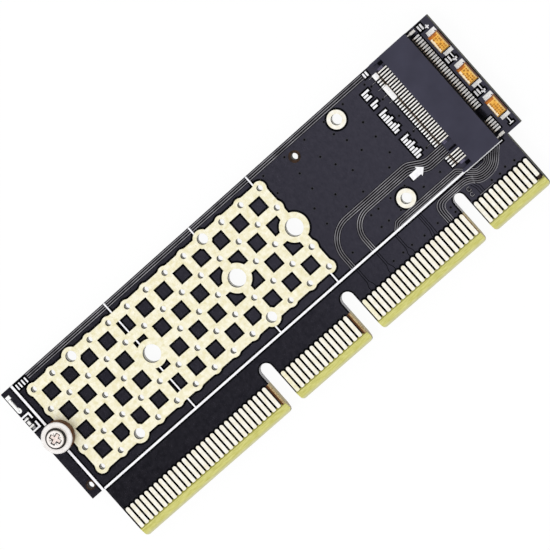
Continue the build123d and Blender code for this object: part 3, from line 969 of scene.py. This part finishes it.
slot_half = (housing_high.y - housing_low.y) / 2 - 0.5
for side in (-1, 1):
    dark_y = sorted(line_y + side * (slot_half - back) for back in (0.62, 0.04))
    lit_y = sorted(line_y + side * (slot_half - back) for back in (1.1, 0.72))
    add_lip_patch(front_x + 0.85, jaw_front - 0.03, *dark_y, 0.006, 0)
    add_lip_patch(front_x + 0.25, front_x + 1.2, *lit_y, 0.02, 1)
add_lip_patch(front_x + 0.2, jaw_front - 0.2, rib_y - 0.86, rib_y - 0.5, 0.006, 0)
for y0, y1 in ((0.48, 0.66), (0.76, 0.92)):
    add_lip_patch(front_x + 0.3, front_x + 1.0, rib_y + y0, rib_y + y1, 0.02, 1)
finish_mesh(bm, "socket_painted_light_and_shade", [shade, lit_plastic])

# A black strip of painted shade on the rear wall behind the rear legs, and the rim above it
bm = bmesh.new()
for ys in rear_groups:
    add_box(bm, housing_high.x - 0.02, housing_high.x + 0.03, ys[-1] - 0.4, ys[0] + 0.4,
            top_z, top_z + 2.2)
finish_mesh(bm, "socket_rear_painted_shade", [shade])
bm = bmesh.new()
add_box(bm, housing_high.x - 0.3, housing_high.x + 0.11, housing_low.y + 0.06,
        housing_high.y - 0.06, housing_high.z - 0.3, housing_high.z - 0.0005)
finish_mesh(bm, "socket_rear_rim", [plastic])

# Capacitors: a moulded body with sloped edges and a dark end band, a painted highlight on its −X
# slopes, and painted shade on its +X side below a painted light edge
inset, slope = 0.1, 0.3
band_share = 0.82
case_looks = [resin, band, resin_painted_highlight, resin_painted_light, resin_painted_shade]
for i in range(1, 4):
    low, high = box_mm(f"capacitor_{i}_body")
    x_mid = (low.x + high.x) / 2
    band_y = low.y + band_share * (high.y - low.y)
    sections = [
        (low.z, 0.06, 0.06), (low.z + 0.05, 0, 0), (low.z + 0.68, 0, 0),
        (low.z + 0.72, 0.03, 0.03), (high.z - slope, inset, inset),
        (high.z - 0.05, inset + slope * 0.4, inset + slope * 0.3),
        (high.z, inset + slope * 0.75, inset + slope * 0.5),
    ]
    bm = bmesh.new()
    rings = []
    for z, dx, dy in sections:
        lit_side = 0.2 if z == high.z else 0
        rings.append([[bm.verts.new((x, y, z)) for y in (low.y + dy, band_y, high.y - dy)]
                      for x in (low.x + dx + lit_side, high.x - dx)])
    for k, (a, b) in enumerate(zip(rings, rings[1:])):
        for s in (0, 1):
            for j in (0, 1):
                face = bm.faces.new((a[s][j], a[s][j + 1], b[s][j + 1], b[s][j]))
                # Painted light and shade: highlight on the upper −X slopes, light upper +X edge, shade
                # on the +X side below it
                face.material_index = (4 if k < 4 else 3) if s else (j or (2 if k > 2 else 0))
        for j in (0, 2):
            bm.faces.new((a[0][j], a[1][j], b[1][j], b[0][j])).material_index = j // 2
    for near, far in (rings[0], rings[-1]):
        for j in (0, 1):
            bm.faces.new((near[j], far[j], far[j + 1], near[j + 1])).material_index = j
    case = finish_mesh(bm, f"capacitor_{i}_case", case_looks, 20)
    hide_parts(f"capacitor_{i}_body")

    # A plain pattern of dashes on top
    bm = bmesh.new()
    for row in range(6):
        y = low.y + 0.42 + 0.36 * row
        for column in range(3):
            x = x_mid - 0.3 + 0.42 * column
            wide = 0.15 + 0.03 * ((row * 2 + column) % 3)
            tall = 0.1 + 0.03 * ((row + column * 2) % 3)
            if (row + column + i) % 7:
                add_box(bm, x - wide, x + wide * 0.6, y - tall, y + tall, high.z - sunk, high.z + film)
    finish_mesh(bm, f"capacitor_{i}_marks", [mark])

    # Solder at both leads, a pore in it, and painted shade below and beside the case
    lead_low, lead_high = box_mm(f"capacitor_{i}_leads")
    bm = bmesh.new()
    for y0, y1 in ((lead_high.y - 0.35, lead_high.y + 0.24), (lead_low.y - 0.18, lead_low.y + 0.3)):
        add_pad(bm, x_mid - 0.82, x_mid + 0.82, y0, y1, 0.16)
    finish_mesh(bm, f"capacitor_{i}_solder", [solder])
    bm = bmesh.new()
    pore = [(0, top_z + 0.12), (0.12, top_z + 0.12), (0.12, top_z + 0.168), (0, top_z + 0.165)]
    add_lathe(bm, pore, x_mid + 0.55, lead_high.y, 14)
    add_box(bm, x_mid - 0.75, x_mid + 0.75, low.y - 0.16, low.y - 0.01, top_z + 0.1, top_z + 1.0)
    add_box(bm, high.x - 0.1, min(high.x + 0.26, board_high.x - rim), low.y - 0.1, high.y + 0.05,
            shade_low, shade_high)
    finish_mesh(bm, f"capacitor_{i}_pores_and_painted_shade", [shade_and_dimples])

# Clamp screw: a low pan head with a cross recess, a groove round it and its shank. Dark steel is
# painted shade in the groove, on the recess walls and in four thin strips, and pink steel is a painted
# reflection deep in the recess
head_x, head_y = (screw_low.x + screw_high.x) / 2, (screw_low.y + screw_high.y) / 2
head_r = (screw_high.x - screw_low.x) / 2
seat_z = box_mm("standoff")[1].z
crown = screw_high.z
steps = 96
recess_turn = radians(20)


def recess_reach(angle, long, wide):
    """How far the cross recess reaches from the middle, at an angle."""
    c, s = max(abs(cos(angle)), 0.001), max(abs(sin(angle)), 0.001)
    return max(min(long / c, wide / s), min(wide / c, long / s))


bm = bmesh.new()
angles = [2 * pi * k / steps for k in range(steps)]
rings = []
for inside, z, off in (
    (0.04, seat_z + 0.002, 0), (0, seat_z + 0.05, 0), (0, seat_z + 0.32, 0),
    (0.02, seat_z + 0.38, 0), (0.06, seat_z + 0.3, 0), (0.28, seat_z + 0.3, -0.08),
    (0.3, seat_z + 0.56, -0.08), (0.42, crown - 0.08, -0.06), (0.62, crown - 0.01, 0),
):
    r = head_r - inside
    rings.append([(head_x + off + r * cos(a), head_y + r * sin(a), z) for a in angles])
for long, wide, drop in ((1.0, 0.36, 0), (0.9, 0.27, 0.07), (0.84, 0.24, 0.16), (0.7, 0.18, 0.3)):
    reaches = [recess_reach(a - recess_turn, long, wide) for a in angles]
    rings.append([(head_x + r * cos(a), head_y + r * sin(a), crown - drop)
                  for a, r in zip(angles, reaches)])
_, recess_floor, *bands = add_rows(bm, rings)
recess_floor.material_index = 2
for number, face in enumerate(bands):
    face.material_index = (0, 0, 0, 1, 1, 1, 0, 0, 0, 1, 1, 2)[number // steps]
middle = Vector((head_x, head_y))
for k in range(4):
    a = recess_turn + pi / 4 + k * pi / 2
    ahead = Vector((cos(a), sin(a)))
    across = Vector((-ahead.y, ahead.x)) * 0.04
    outline = [middle + ahead * reach + across * s
               for reach, s in ((0.5, -1), (0.98, -1), (0.98, 1), (0.5, 1))]
    add_prism(bm, outline, crown - 0.05, crown + film, 1)
shank_low, shank_high = screw_low.z, seat_z + film
add_lathe(bm, [(0, shank_low), (0.9, shank_low), (0.95, shank_low + 0.1), (0.95, shank_high),
               (0, shank_high)], head_x, head_y, 32)
screw = finish_mesh(bm, "clamp_screw_head", [steel, steel_painted_shade, steel_painted_reflection], 30)
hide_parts("clamp_screw")

# Standoff's side wall below its top: painted shade with a painted reflection of the gold
standoff_mesh = nodes["standoff"].data
standoff_mesh.materials.append(turned)
for polygon in standoff_mesh.polygons:
    upright = abs(polygon.normal.z) < 0.5
    low_down = polygon.center.z < (seat_z - 0.3) * mm
    polygon.material_index = 1 if upright and low_down else 0

# Lamp: white end blocks with a narrow lens between them, a line and a round foot
lamp_low, lamp_high = box_mm("lamp_base")
lens_low, lens_high = box_mm("lamp_lens")
side_x = lamp_low.x + 0.09
lamp_top = lamp_high.z
bm = bmesh.new()
add_box(bm, side_x, lamp_high.x, lamp_high.y - 0.62, lamp_high.y, top_z, lamp_top)
foot = circle((side_x + lamp_high.x) / 2, lamp_low.y + 0.4, (lamp_high.x - side_x) / 2, 16, 180, 180)
foot += [(lamp_high.x, lamp_low.y + 0.62), (lamp_high.x - 0.25, lamp_low.y + 1.05),
         (side_x, lamp_low.y + 1.05)]
add_prism(bm, foot, top_z, lamp_top)
add_box(bm, side_x, side_x + 0.5, lamp_low.y + 1.0, lamp_high.y - 0.6, top_z, lamp_top)
lamp_ends = finish_mesh(bm, "lamp_carrier", [white_base])
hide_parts("lamp_base")
bm = bmesh.new()
lens_top = lamp_top + 0.16
rings = []
for z, inset in ((lamp_top - sunk, 0), (lens_top - 0.09, 0), (lens_top - 0.03, 0.03), (lens_top, 0.09)):
    x0, x1 = side_x + 0.02 + inset, side_x + 0.48 - inset
    y0, y1 = lens_low.y + inset, lens_high.y - inset
    start = (x0, lens_low.y + 0.3)
    outline = rounded([start, (x0, y1), (x1, y1), (x1, y0), (x0, y0), start], 0.06, 3)[:-1]
    rings.append([(x, y, z) for x, y in outline])
add_rows(bm, rings)
lens_piece = finish_mesh(bm, "lamp_dome", [lens], 50)
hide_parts("lamp_lens")
bm = bmesh.new()
seam_top = lamp_top + film
add_box(bm, side_x, lamp_high.x, lamp_high.y - 0.66, lamp_high.y - 0.6, top_z, seam_top)
add_box(bm, side_x + 0.02, lamp_high.x - 0.2, lamp_low.y + 0.72, lamp_low.y + 0.79, top_z, seam_top)
add_lathe(bm, [(0, lamp_top - sunk), (0.1, lamp_top - sunk), (0.1, seam_top), (0, seam_top)],
          (lamp_low.x + lamp_high.x) / 2 + 0.03, lamp_low.y + 0.45, 16)
finish_mesh(bm, "lamp_seams", [grey])

# Resistor: pads, soldered caps and a pale panel on its glaze
chip_low, chip_high = box_mm("resistor_ends")
bm = bmesh.new()
for y0, y1 in ((chip_high.y - 0.1, chip_high.y + 0.16), (chip_low.y - 0.42, chip_low.y + 0.02)):
    add_pad(bm, chip_low.x + 0.14, chip_high.x - 0.14, y0, y1, 0.05)
finish_mesh(bm, "resistor_pads", [grey])
bm = bmesh.new()
add_box(bm, chip_low.x + 0.16, chip_high.x - 0.16, chip_low.y + 0.45, chip_high.y - 0.5,
        chip_high.z - 0.02, chip_high.z + film)
finish_mesh(bm, "resistor_panel", [tin])

# Bare laminate beside the notches, and at the foot of the first finger
bm = bmesh.new()
for (x, half), wide in zip(notches, (0.16, 0.6, 0.6)):
    for left, right, mat in ((wide, wide * 0.55, 0), (wide * 0.55, 0.01, 1)):
        add_pad(bm, x - half - left, x - half - right, bevel_top_y + 0.1, bevel_top_y + 4.0, 0.008, mat)
add_pad(bm, pin_x(1) - 0.33, pin_x(1) + 0.33, finger_foot, finger_low.y + 0.7, 0.01, 2)
finish_mesh(bm, "bare_strips", [bare, worn_edge, ring_brown])

# Back of the card: the same fingers, four of them short
bm = bmesh.new()
for pin in pins:
    foot = back_low.y + (short_cut if pin in short_pins_back else 0)
    add_finger(bm, pin, foot, back_high.y, back_low.z, back_z)
back_fingers = finish_mesh(bm, "edge_fingers_back", [pale])
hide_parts("gold_fingers_back")

# Soft edges on the moulded housing and the turned metal
for name, width in (("socket_housing", 0.09), ("standoff", 0.08), ("standoff_nut", 0.08)):
    weld = nodes[name].modifiers.new("weld", "WELD")
    weld.merge_threshold = 0.002 * mm
    soft = nodes[name].modifiers.new("soft_edges", "BEVEL")
    soft.width = width * mm
    soft.segments = 2
    soft.limit_method = "ANGLE"
    soft.angle_limit = radians(40)

# Smooth webs where the outer pads meet the bars of the grid
bm = bmesh.new()
web = 0.7
reach = sqrt((via_pad_radius + web) ** 2 - (bar_half + web) ** 2)
web_turn = atan2(reach, bar_half + web)
web_shape = [(0.6, bar_half - 0.1)]
for a in (k / 6 * web_turn for k in range(7)):
    web_shape.append((reach - web * sin(a), bar_half + web - web * cos(a)))


def add_web(column, row, along_rows, side):
    """One web beside a node, along a bar of the grid's rim."""
    x, y = node_place(column, row)
    out = (1 if row else -1) if along_rows else (-1 if column else 1)
    if along_rows:
        outline = [(x + side * along, y + out * across) for along, across in web_shape]
    else:
        outline = [(x + out * across, y + side * along) for along, across in web_shape]
    add_prism(bm, outline, top_z, grid_top + film)


for side in (-1, 1):
    for column in range(grid_columns):
        if column != (0 if side > 0 else last_column):
            add_web(column, 0, True, side)
            add_web(column, last_row, True, side)
    for row in range(grid_rows):
        if row != (last_row if side > 0 else 0):
            for column in (0, last_column):
                if all(dist(node_place(column, row), q) > standoff_ring for q in stands):
                    add_web(column, row, False, side)
finish_mesh(bm, "grid_webs", [gold])

# Camera where the photograph's was
focal_pixels = 4130.7
picture_pixels = 550
camera_data = bpy.data.cameras.new("camera")
camera_data.sensor_width = 36
camera_data.lens = focal_pixels / picture_pixels * camera_data.sensor_width
camera_data.clip_start = 0.01
camera_data.clip_end = 20
camera = add_object("camera", camera_data)
scene.camera = camera
right = Vector((0.731284, -0.663641, -0.157512))
up = Vector((0.647066, 0.748027, -0.147461))
back = Vector((0.215686, 0.005913, 0.976435))
place = Vector((137.153, 5.232, 621.26)) * mm
turn = Matrix((right, up, back)).transposed()
camera.matrix_world = Matrix.Translation(place) @ turn.to_4x4()

# Floor: white to the camera, and it keeps a soft trace of the shadow
bm = bmesh.new()
bmesh.ops.create_grid(bm, x_segments=1, y_segments=1, size=3)
floor_mesh = bpy.data.meshes.new("floor")
bm.to_mesh(floor_mesh)
bm.free()
floor = add_object("floor", floor_mesh)
floor.location.z = -0.02 * mm
floor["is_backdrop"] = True
floor_mat = principled("floor", (168, 168, 170), 0.9, specular=0.1)
floor_mesh.materials.append(floor_mat)
tree = floor_mat.node_tree
rays = add_node(tree, "LightPath").outputs
seen = calculate(tree, "MAXIMUM", rays["Is Camera Ray"], rays["Is Glossy Ray"])
seen = calculate(tree, "MAXIMUM", seen, rays["Is Transmission Ray"])
link_to(floor_mat, mixed(tree, seen, srgb(150, 150, 152), srgb(253, 253, 254)), "Base Color")
glow = add_node(tree, "Emission", {"Color": (1, 1, 1, 1), "Strength": 1.0}).outputs["Emission"]
glow_share = calculate(tree, "MULTIPLY", seen, 0.95)
matt = shader_of(floor_mat).outputs["BSDF"]
mixer = add_node(tree, "MixShader", {"Fac": glow_share, 1: matt, 2: glow})
tree.links.new(mixer.outputs["Shader"], tree.nodes["Material Output"].inputs["Surface"])

# White sky, darker near the ground and in one soft patch
world = bpy.data.worlds.new("studio")
scene.world = world
world.use_nodes = True
tree = world.node_tree
sky = tree.nodes["Background"].inputs
sky["Color"].default_value = (1, 1, 1, 1)
way = add_node(tree, "TexCoord").outputs["Generated"]
patch_tilt = radians(22.45)
patch_way = (-sin(patch_tilt), 0, cos(patch_tilt))
facing = add_node(tree, "VectorMath", {0: way, 1: patch_way}, operation="DOT_PRODUCT")
falloff = between(tree, facing.outputs["Value"], "SMOOTHSTEP", from_min=cos(radians(14.8)),
                  from_max=cos(radians(3)), to_min=1.0, to_max=0.12)
height = add_node(tree, "SeparateXYZ", {"Vector": way}).outputs["Z"]
overhead = between(tree, height, "SMOOTHSTEP", from_min=0.1, from_max=0.62, to_min=0.1, to_max=1.0)
tree.links.new(calculate(tree, "MULTIPLY", falloff, overhead), sky["Strength"])

# One soft round lamp, with no mirror image, aimed at the middle of the frame
lamp = bpy.data.lights.new("key", "AREA")
lamp.shape = "DISK"
lamp.size = 0.26
lamp.energy = 1.5
key = add_object("key", lamp)
key.location = (-0.27, -0.03, 0.66)
key.rotation_mode = "QUATERNION"
key.rotation_quaternion = (-key.location).to_track_quat("-Z", "Y")
key.visible_glossy = False

scene.view_settings.view_transform = "Standard"

low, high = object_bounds()
